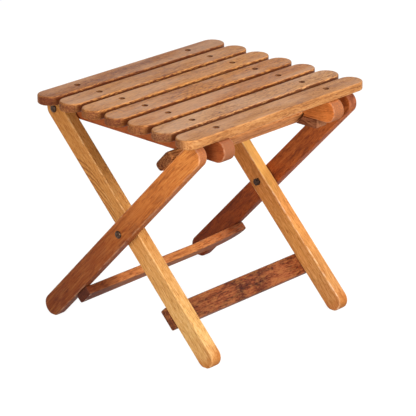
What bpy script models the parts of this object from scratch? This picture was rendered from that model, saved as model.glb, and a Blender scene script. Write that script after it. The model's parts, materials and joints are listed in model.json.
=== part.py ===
"""Folding slatted wooden stool: two crossed leg frames and a hinged slat seat that hooks over a rail.

X runs along the slats, Y from the front of the stool to its back, Z up from the floor. Metres.
The inner legs carry the seat hinge at the back. The outer legs cross them and carry the front rail.
"""

import math
from collections import namedtuple

import bmesh
import bpy
from mathutils import Matrix, Vector

# Seat slats
SLAT_COUNT = 7
SLAT_LENGTH = 0.475
SLAT_WIDTH = 0.046
SLAT_GAP = 0.012
SLAT_THICKNESS = 0.017
SEAT_HEIGHT = 0.443

# Bearers, the two battens that carry the slats
BEARER_SPACING = 0.292
BEARER_THICKNESS = 0.028
BEARER_DEPTH = 0.042
BEARER_OVERHANG = 0.010

# Legs: the outer ones end at a top centre set back from the bearers' front tips, clear of the slats
INNER_LEG_WIDTH = 0.039
INNER_LEG_THICKNESS = 0.024
OUTER_LEG_WIDTH = 0.0415
OUTER_LEG_THICKNESS = 0.020
OUTER_LEG_TOP_SETBACK = 0.0327
OUTER_LEG_TOP_CLEARANCE = 0.0015
FOOT_FLAT = 0.010

# Pivots: the leg crossing, and the seat hinge measured from the rear tip and underside of the bearers
PIVOT_HEIGHT = 0.212
PIVOT_BEHIND_SEAT_MIDDLE = 0.007
SEAT_BOLT_SETBACK = 0.0127
SEAT_BOLT_RISE = 0.019

# Front rail on the outer legs, and the notch in the bearers that drops over it
RAIL_WIDTH = 0.044
RAIL_THICKNESS = 0.0195
RAIL_OVERHANG = 0.0045
RAIL_ENGAGEMENT = 0.0200
NOTCH_FRONT_GAP = 0.0034
NOTCH_REAR_GAP = 0.0025

# Stop block under the right bearer, in front of the rail
BLOCK_LENGTH = 0.035
BLOCK_HEIGHT = 0.017
BLOCK_NOSE_RADIUS = 0.005

# Lower stretchers, measured from the crossing down the leg to their centre lines
OUTER_STRETCHER_WIDTH = 0.0365
OUTER_STRETCHER_THICKNESS = 0.0168
OUTER_STRETCHER_DROP = 0.177
OUTER_STRETCHER_INSET = 0.003
INNER_STRETCHER_WIDTH = 0.042
INNER_STRETCHER_THICKNESS = 0.016
INNER_STRETCHER_DROP = 0.174
INNER_STRETCHER_OVERHANG = 0.0015

# Right end of the outer stretcher: its underside tapers and then sweeps up in a quarter ellipse, its upper
# edge climbs in a straight line, and they meet in a short upright nose held by one screw
SWEEP_TAPER = 0.010
SWEEP_HEEL_LENGTH = 0.085
SWEEP_CLIMB_LENGTH = 0.122
SWEEP_CLIMB = 0.020
SWEEP_NOSE_HEIGHT = 0.008
SWEEP_SCREW_RISE = 0.026

# Edge rounding
SLAT_EDGE = 0.0030
LEG_EDGE = 0.0025
RAIL_EDGE = 0.0070
STRETCHER_EDGE = 0.0030
BLOCK_EDGE = 0.0015

# Bolts, nuts and washers of the two pivots
BOLT_DIAMETER = 0.008
BOLT_HEAD_DIAMETER = 0.0145
BOLT_RIM_HEIGHT = 0.0012
BOLT_CROWN_HEIGHT = 0.0028
BOLT_TIP = 0.0015
NUT_WIDTH = 0.013
NUT_HEIGHT = 0.0055
WASHER_DIAMETER = 0.022
WASHER_THICKNESS = 0.0026

# Countersunk wood screws, and how deep each kind bites into the second piece
SCREW_HEAD_DIAMETER = 0.0085
SCREW_HEAD_HEIGHT = 0.0028
SCREW_DIAMETER = 0.0044
SCREW_POINT = 0.005
SLAT_SCREW_BITE = 0.0155
SLAT_SCREW_RECESS = 0.0035
SLAT_SCREW_RECESS_MARGIN = 0.0016
FRAME_SCREW_BITE = 0.023
FRAME_SCREW_RECESS = 0.0006
FRAME_SCREW_SPACING = 0.018
BLOCK_SCREW_BITE = 0.0135
BLOCK_SCREW_SPACING = 0.013

# Clearance between pieces that touch, and the run of a cutter past the face it starts from
FIT_GAP = 0.0003
CUTTER_OVERRUN = 0.006

# Facets of half-round ends and of turned shapes
END_STEPS = 14
NOSE_STEPS = 5
SWEEP_STEPS = 10
CROWN_STEPS = 4
BOLT_STEPS = 20
SCREW_STEPS = 12
BEVEL_STEPS = 2
SHARP_ANGLE = math.radians(40)
WELD_DISTANCE = 0.00001

LEFT = -1
RIGHT = 1
SIDES = {"left": LEFT, "right": RIGHT}
X_AXIS = Vector((1, 0, 0))
Y_AXIS = Vector((0, 1, 0))
Z_AXIS = Vector((0, 0, 1))

# Heights worked out from the sizes above
SLAT_BOTTOM = SEAT_HEIGHT - SLAT_THICKNESS
BEARER_TOP = SLAT_BOTTOM - FIT_GAP
BEARER_BOTTOM = BEARER_TOP - BEARER_DEPTH

# Depths: the origin is midway between the bearers' front tips and the backs of the inner legs' round tops
SLAT_PITCH = SLAT_WIDTH + SLAT_GAP
SEAT_DEPTH = (SLAT_COUNT - 1) * SLAT_PITCH + SLAT_WIDTH
BEARER_LENGTH = SEAT_DEPTH + 2 * BEARER_OVERHANG
STOOL_DEPTH = BEARER_LENGTH - SEAT_BOLT_SETBACK + INNER_LEG_WIDTH / 2
BEARER_FRONT = -STOOL_DEPTH / 2
BEARER_REAR = BEARER_FRONT + BEARER_LENGTH
SEAT_MIDDLE = BEARER_FRONT + BEARER_LENGTH / 2

# Layers from the bearers outwards, as distances from the middle of the stool
LAYER_GAP = WASHER_THICKNESS + 2 * FIT_GAP
BEARER_CENTRE = BEARER_SPACING / 2
BEARER_INSIDE = BEARER_CENTRE - BEARER_THICKNESS / 2
BEARER_OUTSIDE = BEARER_CENTRE + BEARER_THICKNESS / 2
INNER_LEG_INSIDE = BEARER_OUTSIDE + LAYER_GAP
INNER_LEG_OUTSIDE = INNER_LEG_INSIDE + INNER_LEG_THICKNESS
OUTER_LEG_INSIDE = INNER_LEG_OUTSIDE + LAYER_GAP
OUTER_LEG_OUTSIDE = OUTER_LEG_INSIDE + OUTER_LEG_THICKNESS

# Side view: the two pivots, and the directions up along each pair of legs
PIVOT = Vector((0, SEAT_MIDDLE + PIVOT_BEHIND_SEAT_MIDDLE, PIVOT_HEIGHT))
SEAT_BOLT = Vector((0, BEARER_REAR - SEAT_BOLT_SETBACK, BEARER_BOTTOM + SEAT_BOLT_RISE))
OUTER_TOP_HEIGHT = SLAT_BOTTOM - OUTER_LEG_TOP_CLEARANCE - OUTER_LEG_WIDTH / 2
OUTER_TOP = Vector((0, BEARER_FRONT + OUTER_LEG_TOP_SETBACK, OUTER_TOP_HEIGHT))
INNER_UP = (SEAT_BOLT - PIVOT).normalized()
OUTER_UP = (OUTER_TOP - PIVOT).normalized()
OUTER_REAR = OUTER_UP.cross(X_AXIS)

# Rail, measured from the crossing up the leg and out to its rear: its upper rear corner stands
# RAIL_ENGAGEMENT above the underside of the bearers
RAIL_FACE = OUTER_LEG_WIDTH / 2 + FIT_GAP
RAIL_BACK = RAIL_FACE + RAIL_THICKNESS
RAIL_TOP = (BEARER_BOTTOM + RAIL_ENGAGEMENT - PIVOT.z - RAIL_BACK * OUTER_REAR.z) / OUTER_UP.z
NOTCH_FRONT = RAIL_FACE - NOTCH_FRONT_GAP
NOTCH_REAR = RAIL_BACK + NOTCH_REAR_GAP

# Rows of screws across a rail, measured up from its centre line
SCREW_ROWS = {"low": -FRAME_SCREW_SPACING / 2, "high": FRAME_SCREW_SPACING / 2}

# One pair of legs: direction up the leg, leg width, inner and outer face, the legs by side, and the axis
# that the pair turns about
LegPair = namedtuple("LegPair", "up width inside outside legs axis")


def clear_scene():
    for obj in list(bpy.data.objects):
        bpy.data.objects.remove(obj, do_unlink=True)


def collection(name):
    made = bpy.data.collections.new(name)
    bpy.context.scene.collection.children.link(made)
    return made


def axis_empty(name, place):
    """Marks the axis that a moving frame turns about."""
    empty = bpy.data.objects.new(name, None)
    empty.location = place
    parts.objects.link(empty)
    return empty


def material(name, colour, roughness, metallic):
    made = bpy.data.materials.new(name)
    made.use_nodes = True
    shader = made.node_tree.nodes["Principled BSDF"]
    shader.inputs["Base Color"].default_value = (*colour, 1)
    shader.inputs["Roughness"].default_value = roughness
    shader.inputs["Metallic"].default_value = metallic
    return made


def placed(origin, across, normal):
    """World matrix with local X along across and local Z along normal."""
    side = normal.cross(across)
    turned_to = Matrix((across, side, normal)).transposed().to_4x4()
    return Matrix.Translation(origin) @ turned_to


def arc(centre, radius, start, end, steps):
    """Points of an arc, both ends included."""
    angles = [start + (end - start) * step / steps for step in range(steps + 1)]
    return [(centre[0] + radius * math.cos(a), centre[1] + radius * math.sin(a)) for a in angles]


def round_ended(length, width):
    """Outline of a board with half-round ends, centred on the origin."""
    radius = width / 2
    reach = length / 2 - radius
    right_end = arc((reach, 0), radius, -math.pi / 2, math.pi / 2, END_STEPS)
    left_end = arc((-reach, 0), radius, math.pi / 2, 3 * math.pi / 2, END_STEPS)
    return right_end + left_end


def rectangle(length, width):
    half_x = length / 2
    half_y = width / 2
    return [(-half_x, -half_y), (half_x, -half_y), (half_x, half_y), (-half_x, half_y)]


def add_part(name, mesh, finish, place, axis):
    """Puts a mesh in the stool's collection, carried by an axis, or by none if it stays put."""
    obj = bpy.data.objects.new(name, mesh)
    mesh.materials.append(finish)
    parts.objects.link(obj)
    if axis:
        obj.parent = axis
        obj.matrix_parent_inverse = Matrix.Translation(axis.location).inverted()
    obj.matrix_world = place
    return obj


def extruded(name, outline, thickness):
    """Mesh of a flat outline in local XY, with its thickness centred on local Z."""
    curve = bpy.data.curves.new(name, "CURVE")
    curve.dimensions = "2D"
    curve.fill_mode = "BOTH"
    curve.extrude = thickness / 2
    spline = curve.splines.new("POLY")
    spline.points.add(len(outline) - 1)
    for point, (x, y) in zip(spline.points, outline):
        point.co = (x, y, 0, 1)
    spline.use_cyclic_u = True
    guide = bpy.data.objects.new(name + "_outline", curve)
    cutters.objects.link(guide)
    graph = bpy.context.evaluated_depsgraph_get()
    mesh = bpy.data.meshes.new_from_object(guide.evaluated_get(graph))
    bpy.data.objects.remove(guide)
    shape = bmesh.new()
    shape.from_mesh(mesh)
    bmesh.ops.remove_doubles(shape, verts=shape.verts, dist=WELD_DISTANCE)
    bmesh.ops.dissolve_limit(shape, angle_limit=math.radians(0.1), verts=shape.verts, edges=shape.edges)
    bmesh.ops.recalc_face_normals(shape, faces=shape.faces)
    shape.to_mesh(mesh)
    shape.free()
    mesh.shade_smooth()
    mesh.set_sharp_from_angle(angle=SHARP_ANGLE)
    return mesh


def board(name, outline, thickness, edge, finish, place, axis):
    """A sawn board with its edges rounded over."""
    obj = add_part(name, extruded(name, outline, thickness), finish, place, axis)
    bevel = obj.modifiers.new("rounded_edges", "BEVEL")
    bevel.width = edge
    bevel.segments = BEVEL_STEPS
    bevel.limit_method = "ANGLE"
    bevel.angle_limit = SHARP_ANGLE
    return obj


def profile_mesh(name, profile, closed=False):
    """Edges through (radius, height) points, ready to be turned about local Z."""
    mesh = bpy.data.meshes.new(name)
    points = [(radius, 0, height) for radius, height in profile]
    edges = [(i, i + 1) for i in range(len(points) - 1)]
    if closed:
        edges.append((len(points) - 1, 0))
    mesh.from_pydata(points, edges, [])
    return mesh


def turn(obj, steps):
    """Revolves a profile about local Z."""
    screw = obj.modifiers.new("turned", "SCREW")
    screw.steps = steps
    screw.render_steps = steps
    screw.use_merge_vertices = True
    screw.merge_threshold = WELD_DISTANCE
    screw.use_smooth_shade = True


def turned_part(name, mesh, steps, place, axis):
    turn(add_part(name, mesh, steel, place, axis), steps)


def cutter(name, mesh, place):
    """A shape that is only cut away from others: never rendered, shown as wire."""
    obj = bpy.data.objects.new(name, mesh)
    obj.matrix_world = place
    cutters.objects.link(obj)
    obj.hide_render = True
    obj.display_type = "WIRE"
    return obj


def cut(pieces, tool):
    for piece in pieces:
        boolean = piece.modifiers.new("cut_" + tool.name, "BOOLEAN")
        boolean.operation = "DIFFERENCE"
        boolean.solver = "EXACT"
        boolean.object = tool


def fit_screw(name, surface, inward, first, second, bite, recess, margin, axis):
    """Sinks a countersunk screw through a first piece into a second one, and cuts its hole in both.

    first is the piece and its thickness under the surface. Heights run from the top of the head."""
    piece, thickness = first
    length = thickness - recess + FIT_GAP + bite
    head = SCREW_HEAD_DIAMETER / 2
    shank = SCREW_DIAMETER / 2
    profile = [
        (0, 0),
        (head, 0),
        (shank, -SCREW_HEAD_HEIGHT),
        (shank, SCREW_POINT - length),
        (0, -length),
    ]
    place = placed(surface + inward * recess, X_AXIS, -inward)
    turned_part(name, profile_mesh(name, profile), SCREW_STEPS, place, axis)
    mouth = recess + CUTTER_OVERRUN
    bore = head + margin
    pilot = shank + FIT_GAP
    hole_profile = [
        (0, mouth),
        (bore, mouth),
        (bore, 0),
        (head + FIT_GAP, -FIT_GAP),
        (pilot, -SCREW_HEAD_HEIGHT - FIT_GAP),
        (pilot, -length - FIT_GAP),
        (0, -length - FIT_GAP),
    ]
    hole = cutter(name + "_hole", profile_mesh(name + "_hole", hole_profile), place)
    turn(hole, SCREW_STEPS)
    cut([piece, second], hole)


def fit_bolt(name, side, centre, head_face, nut_face, through, axis):
    """A bolt along X from an outer face to a nut on an inner face, with its hole through the pieces between.

    name has a place for the kind of piece. Heights run from the face under the head."""
    outward = X_AXIS * side
    place = placed(centre + outward * head_face, Y_AXIS, outward)
    grip = head_face - nut_face
    end = -grip - FIT_GAP - NUT_HEIGHT - BOLT_TIP
    head = BOLT_HEAD_DIAMETER / 2
    shank = BOLT_DIAMETER / 2
    rim = FIT_GAP + BOLT_RIM_HEIGHT
    crown = [math.pi / 2 * (1 - step / CROWN_STEPS) for step in range(1, CROWN_STEPS + 1)]
    profile = [
        (0, rim + BOLT_CROWN_HEIGHT),
        *[(head * math.cos(a), rim + BOLT_CROWN_HEIGHT * math.sin(a)) for a in crown],
        (head, FIT_GAP),
        (shank, FIT_GAP),
        (shank, end),
        (0, end),
    ]
    bolt_name = name.format("bolt")
    turned_part(bolt_name, profile_mesh(bolt_name, profile), BOLT_STEPS, place, axis)
    bore = shank + FIT_GAP
    far = end - CUTTER_OVERRUN
    hole_profile = [(0, CUTTER_OVERRUN), (bore, CUTTER_OVERRUN), (bore, far), (0, far)]
    hole = cutter(bolt_name + "_hole", profile_mesh(bolt_name + "_hole", hole_profile), place)
    turn(hole, BOLT_STEPS)
    nut_mesh = bpy.data.meshes.new(name.format("nut"))
    shape = bmesh.new()
    corner = NUT_WIDTH / 2 / math.cos(math.pi / 6)
    bmesh.ops.create_cone(shape, cap_ends=True, segments=6, radius1=corner, radius2=corner, depth=NUT_HEIGHT)
    shape.to_mesh(nut_mesh)
    shape.free()
    nut_place = place @ Matrix.Translation((0, 0, -grip - FIT_GAP - NUT_HEIGHT / 2))
    nut = add_part(name.format("nut"), nut_mesh, steel, nut_place, axis)
    cut([*through, nut], hole)


def fit_washer(name, side, centre, face):
    """A spacing washer on the outside of a face, between two layers."""
    outer = WASHER_DIAMETER / 2
    bore = BOLT_DIAMETER / 2 + FIT_GAP
    low = FIT_GAP
    high = FIT_GAP + WASHER_THICKNESS
    ring = [(bore, high), (outer, high), (outer, low), (bore, low)]
    place = placed(centre + X_AXIS * side * face, Y_AXIS, X_AXIS * side)
    turned_part(name, profile_mesh(name, ring, closed=True), BOLT_STEPS, place, None)


def leg_outline(up, width, top_reach):
    """Leg with a half-round top, and a half-round foot that stands on a short flat.

    Local X runs up the leg from the crossing, and local Y out of its front edge."""
    radius = width / 2
    foot_height = math.sqrt(radius**2 - (FOOT_FLAT / 2) ** 2)
    foot_reach = (PIVOT.z - foot_height) / up.z
    down = math.atan2(-X_AXIS.cross(up).z, -up.z) % (2 * math.pi)
    half_flat = math.asin(FOOT_FLAT / 2 / radius)
    top = arc((top_reach, 0), radius, -math.pi / 2, math.pi / 2, END_STEPS)
    foot = (-foot_reach, 0)
    front_of_foot = arc(foot, radius, math.pi / 2, down - half_flat, END_STEPS // 2)
    rear_of_foot = arc(foot, radius, down + half_flat, 3 * math.pi / 2, END_STEPS // 2)
    return top + front_of_foot + rear_of_foot


def make_legs(kind, up, width, inside, thickness, top_reach, finish, axis):
    outline = leg_outline(up, width, top_reach)
    legs = {}
    for end, side in SIDES.items():
        place = placed(PIVOT + X_AXIS * side * (inside + thickness / 2), up, X_AXIS)
        legs[side] = board(f"{kind}_leg_{end}", outline, thickness, LEG_EDGE, finish, place, axis)
    return LegPair(up, width, inside, inside + thickness, legs, axis)


def make_bearers():
    """Bearers with a birdsmouth notch: a slot along the outer legs, as wide as the rail and its gaps."""
    outline = round_ended(BEARER_LENGTH, BEARER_DEPTH)
    middle = Vector((0, SEAT_MIDDLE, BEARER_BOTTOM + BEARER_DEPTH / 2))
    notch_middle = PIVOT + OUTER_UP * (RAIL_TOP + FIT_GAP - RAIL_WIDTH / 2)
    notch_middle += OUTER_REAR * (NOTCH_FRONT + NOTCH_REAR) / 2
    bearers = {}
    for end, side in SIDES.items():
        across = X_AXIS * side * BEARER_CENTRE
        place = placed(middle + across, Y_AXIS, X_AXIS)
        name = "seat_bearer_" + end
        bearers[side] = board(name, outline, BEARER_THICKNESS, LEG_EDGE, bearer_wood, place, seat_axis)
        slot = bpy.data.meshes.new(name + "_notch")
        shape = bmesh.new()
        slot_size = (BEARER_THICKNESS + 2 * CUTTER_OVERRUN, RAIL_WIDTH, NOTCH_REAR - NOTCH_FRONT)
        bmesh.ops.create_cube(shape, size=1, matrix=Matrix.Diagonal((*slot_size, 1)))
        shape.to_mesh(slot)
        shape.free()
        cut([bearers[side]], cutter(slot.name, slot, placed(notch_middle + across, X_AXIS, -OUTER_REAR)))
    return bearers


def make_slats(bearers):
    outline = round_ended(SLAT_LENGTH, SLAT_WIDTH)
    for index in range(SLAT_COUNT):
        depth = SEAT_MIDDLE + (SEAT_DEPTH - SLAT_WIDTH) / 2 - index * SLAT_PITCH
        place = Matrix.Translation((0, depth, SEAT_HEIGHT - SLAT_THICKNESS / 2))
        name = f"seat_slat_{index + 1}"
        slat = board(name, outline, SLAT_THICKNESS, SLAT_EDGE, slat_wood, place, seat_axis)
        for end, side in SIDES.items():
            fit_screw(
                f"slat_screw_{index + 1}_{end}",
                Vector((side * BEARER_CENTRE, depth, SEAT_HEIGHT)),
                -Z_AXIS,
                (slat, SLAT_THICKNESS),
                bearers[side],
                SLAT_SCREW_BITE,
                SLAT_SCREW_RECESS,
                SLAT_SCREW_RECESS_MARGIN,
                seat_axis,
            )


def swept_outline(length, width):
    """A board whose right end sweeps up."""
    right = length / 2
    low = -width / 2
    high = width / 2
    nose_top = high + SWEEP_CLIMB
    heel = (right - SWEEP_HEEL_LENGTH, nose_top - SWEEP_NOSE_HEIGHT)
    drop = heel[1] - low - SWEEP_TAPER
    turns = [math.pi / 2 * step / SWEEP_STEPS for step in range(SWEEP_STEPS + 1)]
    sweep = [(heel[0] + SWEEP_HEEL_LENGTH * math.sin(a), heel[1] - drop * math.cos(a)) for a in turns]
    return [(-right, low), *sweep, (right, nose_top), (right - SWEEP_CLIMB_LENGTH, high), (-right, high)]


def make_rail(name, pair, outward, reach, outline, thickness, edge, right_screws, finish):
    """A board across a pair of legs, on the edge that faces outward, screwed to them from its own face.

    The outline's Y axis runs up the legs. right_screws are the rows of screws at the right end."""
    centre = PIVOT + pair.up * reach + outward * (pair.width / 2 + FIT_GAP + thickness / 2)
    towards_front = X_AXIS.cross(pair.up)
    place = placed(centre, X_AXIS, towards_front)
    rail = board(name, outline, thickness, edge, finish, place, pair.axis)
    leg_middle = (pair.inside + pair.outside) / 2
    for end, side in SIDES.items():
        rows = right_screws if side == RIGHT else SCREW_ROWS
        for row, step in rows.items():
            fit_screw(
                f"{name}_screw_{end}_{row}",
                centre + X_AXIS * side * leg_middle + pair.up * step + outward * thickness / 2,
                -outward,
                (rail, thickness),
                pair.legs[side],
                FRAME_SCREW_BITE,
                FRAME_SCREW_RECESS,
                FIT_GAP,
                pair.axis,
            )


def notch_front_at(height):
    """Depth of the notch's front wall, carried down along the rail, at a height."""
    reach = (height - PIVOT.z - NOTCH_FRONT * OUTER_REAR.z) / OUTER_UP.z
    return PIVOT.y + reach * OUTER_UP.y + NOTCH_FRONT * OUTER_REAR.y


def make_stop_block(bearer):
    """Cleat under the right bearer: a rounded nose in front, and a rear end cut along the rail."""
    top = BEARER_BOTTOM - FIT_GAP
    bottom = top - BLOCK_HEIGHT
    rear_top = notch_front_at(top)
    nose = rear_top - BLOCK_LENGTH
    nose_centre = (nose + BLOCK_NOSE_RADIUS, bottom + BLOCK_NOSE_RADIUS)
    corner = arc(nose_centre, BLOCK_NOSE_RADIUS, math.pi, 3 * math.pi / 2, NOSE_STEPS)
    outline = [(rear_top, top), (nose, top), *corner, (notch_front_at(bottom), bottom)]
    place = placed(X_AXIS * BEARER_CENTRE, Y_AXIS, X_AXIS)
    block = board("rail_stop_block", outline, BEARER_THICKNESS, BLOCK_EDGE, block_wood, place, seat_axis)
    screw_depth = (rear_top + nose_centre[0]) / 2
    for end, side in SIDES.items():
        fit_screw(
            "stop_block_screw_" + end,
            Vector((BEARER_CENTRE + side * BLOCK_SCREW_SPACING / 2, screw_depth, bottom)),
            Z_AXIS,
            (block, BLOCK_HEIGHT),
            bearer,
            BLOCK_SCREW_BITE,
            FRAME_SCREW_RECESS,
            FIT_GAP,
            seat_axis,
        )


def make_pivots(inner, outer, bearers):
    for end, side in SIDES.items():
        crossing = [outer.legs[side], inner.legs[side]]
        fit_bolt("leg_pivot_{}_" + end, side, PIVOT, outer.outside, inner.inside, crossing, fold_axis)
        fit_washer("leg_pivot_washer_" + end, side, PIVOT, inner.outside)
        hinge = [inner.legs[side], bearers[side]]
        fit_bolt("seat_pivot_{}_" + end, side, SEAT_BOLT, inner.outside, BEARER_INSIDE, hinge, None)
        fit_washer("seat_pivot_washer_" + end, side, SEAT_BOLT, BEARER_OUTSIDE)


clear_scene()
parts = collection("folding_slat_stool")
cutters = collection("cutters")
fold_axis = axis_empty("fold_axis", PIVOT)
seat_axis = axis_empty("seat_axis", SEAT_BOLT)
slat_wood = material("varnished_slat_wood", (0.47, 0.24, 0.12), 0.45, 0)
bearer_wood = material("varnished_bearer_wood", (0.50, 0.17, 0.05), 0.45, 0)
light_wood = material("varnished_golden_wood", (0.58, 0.30, 0.09), 0.40, 0)
dark_wood = material("varnished_red_brown_wood", (0.30, 0.08, 0.03), 0.40, 0)
rail_wood = material("varnished_worn_brown_wood", (0.26, 0.09, 0.045), 0.50, 0)
block_wood = material("bare_weathered_wood", (0.26, 0.14, 0.09), 0.80, 0)
steel = material("blackened_steel", (0.03, 0.03, 0.03), 0.45, 1)

inner_pair = make_legs(
    "inner",
    INNER_UP,
    INNER_LEG_WIDTH,
    INNER_LEG_INSIDE,
    INNER_LEG_THICKNESS,
    (SEAT_BOLT - PIVOT).length,
    light_wood,
    None,
)
outer_pair = make_legs(
    "outer",
    OUTER_UP,
    OUTER_LEG_WIDTH,
    OUTER_LEG_INSIDE,
    OUTER_LEG_THICKNESS,
    (OUTER_TOP - PIVOT).length,
    dark_wood,
    fold_axis,
)
seat_bearers = make_bearers()
make_slats(seat_bearers)
make_rail(
    "outer_front_rail",
    outer_pair,
    OUTER_REAR,
    RAIL_TOP - RAIL_WIDTH / 2,
    rectangle(2 * (OUTER_LEG_OUTSIDE + RAIL_OVERHANG), RAIL_WIDTH),
    RAIL_THICKNESS,
    RAIL_EDGE,
    SCREW_ROWS,
    rail_wood,
)
make_rail(
    "outer_lower_stretcher",
    outer_pair,
    -OUTER_REAR,
    -OUTER_STRETCHER_DROP,
    swept_outline(2 * (OUTER_LEG_OUTSIDE - OUTER_STRETCHER_INSET), OUTER_STRETCHER_WIDTH),
    OUTER_STRETCHER_THICKNESS,
    STRETCHER_EDGE,
    {"nose": SWEEP_SCREW_RISE},
    dark_wood,
)
make_rail(
    "inner_lower_stretcher",
    inner_pair,
    INNER_UP.cross(X_AXIS),
    -INNER_STRETCHER_DROP,
    rectangle(2 * (INNER_LEG_OUTSIDE + INNER_STRETCHER_OVERHANG), INNER_STRETCHER_WIDTH),
    INNER_STRETCHER_THICKNESS,
    STRETCHER_EDGE,
    SCREW_ROWS,
    rail_wood,
)
make_stop_block(seat_bearers[RIGHT])
make_pivots(inner_pair, outer_pair, seat_bearers)
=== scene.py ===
# %% [markdown]
# # A folding slatted stool
# The stool is two pairs of crossed legs and a slatted seat. The golden inner legs carry the seat on a hinge
# at the back, the red-brown outer legs cross them on two bolts, and a rail between the outer legs' tops sits
# in notches under the seat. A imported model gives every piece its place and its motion. This script dresses
# that frame: boards with rounded edges, hardware, varnished wood, and a plain studio.

# %% Load the frame
import json
from math import asin, atan2, cos, degrees, pi, radians, sin, sqrt, tan

import bmesh
import bpy
from mathutils import Matrix, Vector


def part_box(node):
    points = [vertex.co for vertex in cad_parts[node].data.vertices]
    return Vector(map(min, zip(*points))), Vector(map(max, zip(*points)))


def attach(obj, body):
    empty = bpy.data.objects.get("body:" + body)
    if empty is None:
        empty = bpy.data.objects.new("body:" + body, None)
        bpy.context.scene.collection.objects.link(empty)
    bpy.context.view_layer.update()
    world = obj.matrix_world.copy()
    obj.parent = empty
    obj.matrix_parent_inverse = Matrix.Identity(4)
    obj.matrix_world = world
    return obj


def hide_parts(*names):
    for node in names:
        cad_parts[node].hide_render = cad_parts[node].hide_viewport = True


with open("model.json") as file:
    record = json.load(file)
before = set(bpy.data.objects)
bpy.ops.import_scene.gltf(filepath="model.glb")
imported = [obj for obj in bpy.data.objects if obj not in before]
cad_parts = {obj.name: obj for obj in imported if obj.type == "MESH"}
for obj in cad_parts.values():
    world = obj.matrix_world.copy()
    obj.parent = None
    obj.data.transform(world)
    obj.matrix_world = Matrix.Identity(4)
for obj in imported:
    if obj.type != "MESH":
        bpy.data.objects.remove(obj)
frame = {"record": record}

scene = bpy.context.scene
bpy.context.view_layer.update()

# %% [markdown]
# ## Camera
# The picture was taken from the front left, from a little above, with a long lens: the slats' edges barely
# converge. A long lens far away gives the same flat perspective. The camera's three directions are worked out
# from its azimuth, elevation and a very small roll, and fill the columns of its matrix.

# %% Camera
AZIMUTH = radians(-46.6186)
ELEVATION = radians(21.1775)
ROLL = radians(-0.157)
FOCAL_LENGTH_MM = 194.8
SENSOR_MM = 36
CAMERA_AT = (-2.8332, -2.6969, 1.7201)

back = Vector((
    sin(AZIMUTH) * cos(ELEVATION),
    -cos(AZIMUTH) * cos(ELEVATION),
    sin(ELEVATION),
))
level = Vector((cos(AZIMUTH), sin(AZIMUTH), 0))
right = Matrix.Rotation(ROLL, 3, back) @ level
lens = bpy.data.cameras.new("camera")
lens.lens = FOCAL_LENGTH_MM
lens.sensor_width = SENSOR_MM
camera = bpy.data.objects.new("camera", lens)
camera.matrix_world = Matrix((right, back.cross(right), back)).transposed().to_4x4()
camera.location = CAMERA_AT
scene.collection.objects.link(camera)
scene.camera = camera
print("camera:", round(camera.location.length, 2), "m from the stool")

# %% [markdown]
# ## Measuring the frame
# Sizes that a box can tell are read off the frame, so the looks follow it. The two joints give the crossing
# of the legs and the hinge of the seat, and with them the directions that the legs run in. The few sizes that
# a slanting board hides from its box are written here, in metres.

# %% Sizes
OUTER_LEG_WIDTH = 0.0415
RAIL_SIZE = (0.044, 0.0195)
OUTER_STRETCHER_SIZE = (0.0365, 0.0168)
OUTER_STRETCHER_DROP = 0.177
INNER_STRETCHER_SIZE = (0.042, 0.016)
FOOT_FLAT = 0.010
GAP = 0.0003
SIDES = {"left": -1, "right": 1}
X_AXIS = Vector((1, 0, 0))
Y_AXIS = Vector((0, 1, 0))
Z_AXIS = Vector((0, 0, 1))


def middle_of(node):
    low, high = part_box(node)
    return (Vector(low) + Vector(high)) / 2


def size_of(node):
    low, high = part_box(node)
    return Vector(high) - Vector(low)


joints = {joint["name"]: Vector(joint["pos_m"]) for joint in frame["record"]["behaviour"]["joints"]}
CROSSING = joints["leg_fold"]
HINGE = joints["seat_hinge"]
INNER_LEG_WIDTH = 2 * (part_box("inner_leg_left")[1][2] - HINGE.z)
outer_low, outer_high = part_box("outer_leg_left")
OUTER_TOP = Vector((0, outer_low[1] + OUTER_LEG_WIDTH / 2, outer_high[2] - OUTER_LEG_WIDTH / 2))
INNER_UP = (HINGE - CROSSING).normalized()
OUTER_UP = (OUTER_TOP - CROSSING).normalized()
OUTER_REAR = OUTER_UP.cross(X_AXIS)
INNER_REAR = INNER_UP.cross(X_AXIS)
print("legs lean", *[round(degrees(asin(up.z)), 1) for up in (INNER_UP, OUTER_UP)])

# %% [markdown]
# ## Boards
# Every wooden piece starts as a flat outline that is given a thickness, and then has its edges rounded over,
# as a router or a sanding block would. A Bevel modifier rounds the edges, Booleans drill and notch, and
# weighted normals keep the broad faces flat to the eye while the rounded edges catch the light. The result is
# turned into a plain mesh that already stands in its place.

# %% Outlines
END_STEPS = 32


def arc(centre, radius, start, end, steps=END_STEPS):
    """Points of an arc, both ends included."""
    angles = [start + (end - start) * step / steps for step in range(steps + 1)]
    return [(centre[0] + radius * cos(a), centre[1] + radius * sin(a)) for a in angles]


def pill(length, width):
    """Outline with half-round ends."""
    reach = (length - width) / 2
    right_end = arc((reach, 0), width / 2, -pi / 2, pi / 2)
    left_end = arc((-reach, 0), width / 2, pi / 2, 3 * pi / 2)
    return right_end + left_end


def rectangle(length, width):
    end, edge = length / 2, width / 2
    return [(-end, -edge), (end, -edge), (end, edge), (-end, edge)]


# %% Placing and settling
def placed(origin, along, normal):
    """Matrix with local X along the board and local Z out of its face."""
    axes = Matrix((along, normal.cross(along), normal)).transposed().to_4x4()
    return Matrix.Translation(origin) @ axes


def link(name, mesh):
    obj = bpy.data.objects.new(name, mesh)
    scene.collection.objects.link(obj)
    return obj


def settle(obj):
    """Turns an object and its modifiers into a plain mesh under the same name."""
    name = obj.name
    graph = bpy.context.evaluated_depsgraph_get()
    mesh = bpy.data.meshes.new_from_object(obj.evaluated_get(graph))
    bpy.data.objects.remove(obj)
    mesh.name = name
    return link(name, mesh)


# %% Making a board
EDGE_STEPS = 4
SHARP = radians(38)
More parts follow.
